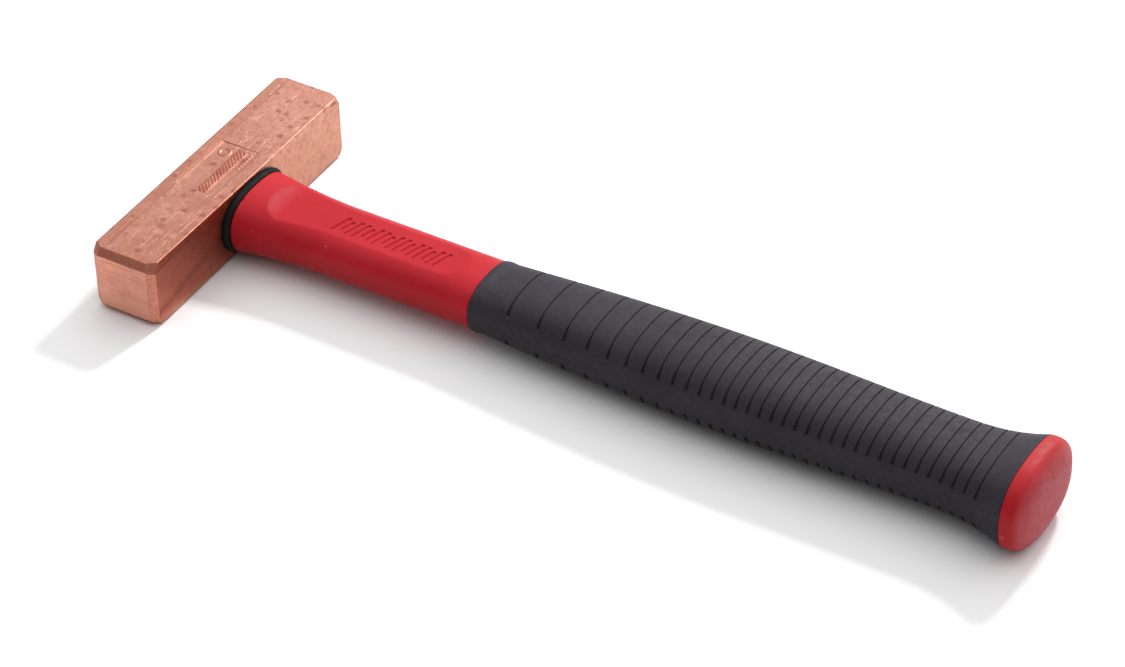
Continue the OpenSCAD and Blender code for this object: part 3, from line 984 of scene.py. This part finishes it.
def make_grip(material):
    angles = even_angles(256)
    rows = [plain_grip_row(GRIP_FRONT + place, angles) for place in ROWS_BEFORE_GROOVES]
    for middle in groove_positions():
        rows += groove_rows(middle, angles)
    rows += [plain_grip_row(BUTT_X - place, angles) for place in ROWS_AFTER_GROOVES]
    rows += [tenon_row(float(x), angles) for x in spread(GRIP_FRONT, BUTT_X, 6.0)[::-1]]
    piece = skin("soft_grip", rows, ring=True)
    return finished(piece, "grip_sleeve", material)


# ---- Butt cap ------------------------------------------------------------------------------------------

# Rounded edge of the rim, where it meets the grip: how far in from the butt's outline, and how far along
RIM_EDGE = [(0.5, 0.0), (0.25, 0.06), (0.08, 0.18)]
# Up to this rise the dome's rows are evenly spaced in rise, and past it they're evenly spaced in size
STEEP_RISE = 7.6


def dome_curve(value):
    """The dome's size at a rise, or its rise at a size, as shares from 0 to 1. The curve is symmetric."""
    return (1 - value**DOME_POWER) ** (1 / DOME_POWER)


def gate(points):
    """Adds the small raised gate mark that the moulding left beside the cap's rim."""
    away = np.linalg.norm(points - np.array(GATE_PLACE), axis=-1)
    points[..., 1] -= GATE_HEIGHT * np.exp(-((away / GATE_RADIUS) ** 2))
    return points


def make_cap(material):
    angles = even_angles(320)
    height = CAP_END - BUTT_X
    rows = [core_row(CORE_END, angles), core_row(JACKET_END, angles)]
    rows += [tenon_row(float(x), angles) for x in spread(JACKET_END, BUTT_X, 1.5)]
    for inset, rise in RIM_EDGE:
        rows.append(row(BUTT_X + rise, section(BUTT_HALF[0] - inset, BUTT_HALF[1] - inset, angles)))
    steep = [(rise, dome_curve(rise / height)) for rise in spread(0.4, STEEP_RISE, 0.3)]
    sizes = spread(steep[-1][1], 0.04, -0.035)[1:]
    gentle = [(height * dome_curve(size), size) for size in sizes]
    for rise, size in steep + gentle:
        rows.append(row(BUTT_X + rise, section(BUTT_HALF[0] * size, BUTT_HALF[1] * size, angles)))
    poles = [(CORE_END, 0, 0), (CAP_END, 0, 0)]
    piece = skin("red_butt_cap", gate(np.array(rows)), poles=poles)
    return finished(piece, "butt_cap", material)


# ---- Camera, floor and lights ----------------------------------------------------------------------------

# The camera's angles in degrees, its lens in millimetres, and its place in the hammer's own axes
CAMERA_AZIMUTH = 32.38
CAMERA_ELEVATION = 39.14
CAMERA_ROLL = -1.80
CAMERA_LENS = 136.9
CAMERA_PLACE = (854.06, -1092.21, 1046.54)

# The floor's half size, and the hair's breadth that it stays below the hammer, in millimetres
FLOOR_REACH = 4000.0
FLOOR_GAP = 0.02

# The overhead sweep and the dim room, then the softbox behind the hammer in metres and watts
SWEEP_DIRECTION = (-0.05, 0.3, 0.95)
SWEEP_LEVEL = 1.52
ROOM_LEVEL = 0.08
SOFTBOX_PLACE = (0.05, 1.23, 1.0)
SOFTBOX_SIZE = (0.18, 0.18)
SOFTBOX_POWER = 18.3


def make_camera():
    azimuth, elevation, roll = map(math.radians, (CAMERA_AZIMUTH, CAMERA_ELEVATION, CAMERA_ROLL))
    back = Vector((
        math.sin(azimuth) * math.cos(elevation),
        -math.cos(azimuth) * math.cos(elevation),
        math.sin(elevation),
    ))
    right = Vector((0, 0, 1)).cross(back).normalized()
    up = back.cross(right)
    turned_right = right * math.cos(roll) + up * math.sin(roll)
    turned_up = up * math.cos(roll) - right * math.sin(roll)
    camera_data = bpy.data.cameras.new("camera")
    camera_data.lens = CAMERA_LENS
    camera_data.sensor_width = 36
    camera_data.clip_end = 50
    camera = bpy.data.objects.new("camera", camera_data)
    basis = Matrix((turned_right, turned_up, back)).transposed().to_4x4()
    camera.matrix_world = Matrix.Translation(head_mid + Vector(CAMERA_PLACE) * MM) @ basis
    bpy.context.scene.collection.objects.link(camera)
    bpy.context.scene.camera = camera


def make_floor(material):
    """A flat floor under the head's lower rear edge and the butt. The handle is level in the row frame, so
    it's the floor that tilts, by about half a degree."""
    rear_x, rear_z = -HALF_SIDE + BODY_RADII[3], -HALF_SIDE
    butt_x, butt_z = BUTT_X + 0.4, -BUTT_HALF[1]
    slope = (butt_z - rear_z) / (butt_x - rear_x)
    corners = []
    for side_x, side_y in ((-1, -1), (1, -1), (1, 1), (-1, 1)):
        x = side_x * FLOOR_REACH
        corners.append((x, side_y * FLOOR_REACH, rear_z + slope * (x - rear_x) - FLOOR_GAP))
    floor = build("floor", corners, [(0, 1, 2, 3)])
    floor.data.materials.append(material)
    floor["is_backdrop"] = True


def add_light(name, place, target, size, power):
    data = bpy.data.lights.new(name, "AREA")
    data.shape = "RECTANGLE"
    data.size, data.size_y = size
    data.energy = power
    light = bpy.data.objects.new(name, data)
    place, target = Vector(place), Vector(target)
    light.location = place
    light.rotation_euler = (target - place).to_track_quat("-Z", "Y").to_euler()
    bpy.context.scene.collection.objects.link(light)


def make_world():
    """A white sweep behind the hammer and overhead, falling off to a dim room behind the camera."""
    world = bpy.data.worlds.new("studio")
    world.use_nodes = True
    nodes, links = world.node_tree.nodes, world.node_tree.links
    direction = nodes.new("ShaderNodeTexCoord")
    toward = nodes.new("ShaderNodeVectorMath")
    toward.operation = "DOT_PRODUCT"
    toward.inputs[1].default_value = SWEEP_DIRECTION
    fade = nodes.new("ShaderNodeMapRange")
    fade.interpolation_type = "SMOOTHSTEP"
    fade.inputs["From Min"].default_value = 0.1
    fade.inputs["From Max"].default_value = 1.0
    fade.inputs["To Min"].default_value = ROOM_LEVEL
    fade.inputs["To Max"].default_value = SWEEP_LEVEL
    links.new(direction.outputs["Generated"], toward.inputs[0])
    links.new(toward.outputs["Value"], fade.inputs["Value"])
    links.new(fade.outputs["Result"], nodes["Background"].inputs["Strength"])
    nodes["Background"].inputs["Color"].default_value = (1.0, 1.0, 1.0, 1.0)
    bpy.context.scene.world = world


def make_lights():
    make_world()
    add_light("back_softbox", SOFTBOX_PLACE, (0, 0, 0), SOFTBOX_SIZE, SOFTBOX_POWER)
    bpy.context.scene.view_settings.view_transform = "Standard"


# ---- Assembly --------------------------------------------------------------------------------------------

make_head(copper_material())
make_potting(resin_material())
make_gasket(rubber_material())
make_jacket(red_material())
make_grip(grip_material())
make_cap(cap_material())
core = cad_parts["core_rod"]
core.data.materials.clear()
core.data.materials.append(fibreglass_material())
make_floor(floor_material())
make_camera()
make_lights()

boxes = [[list(map(float, corner)) for corner in box] for box in (cad_bounds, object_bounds())]
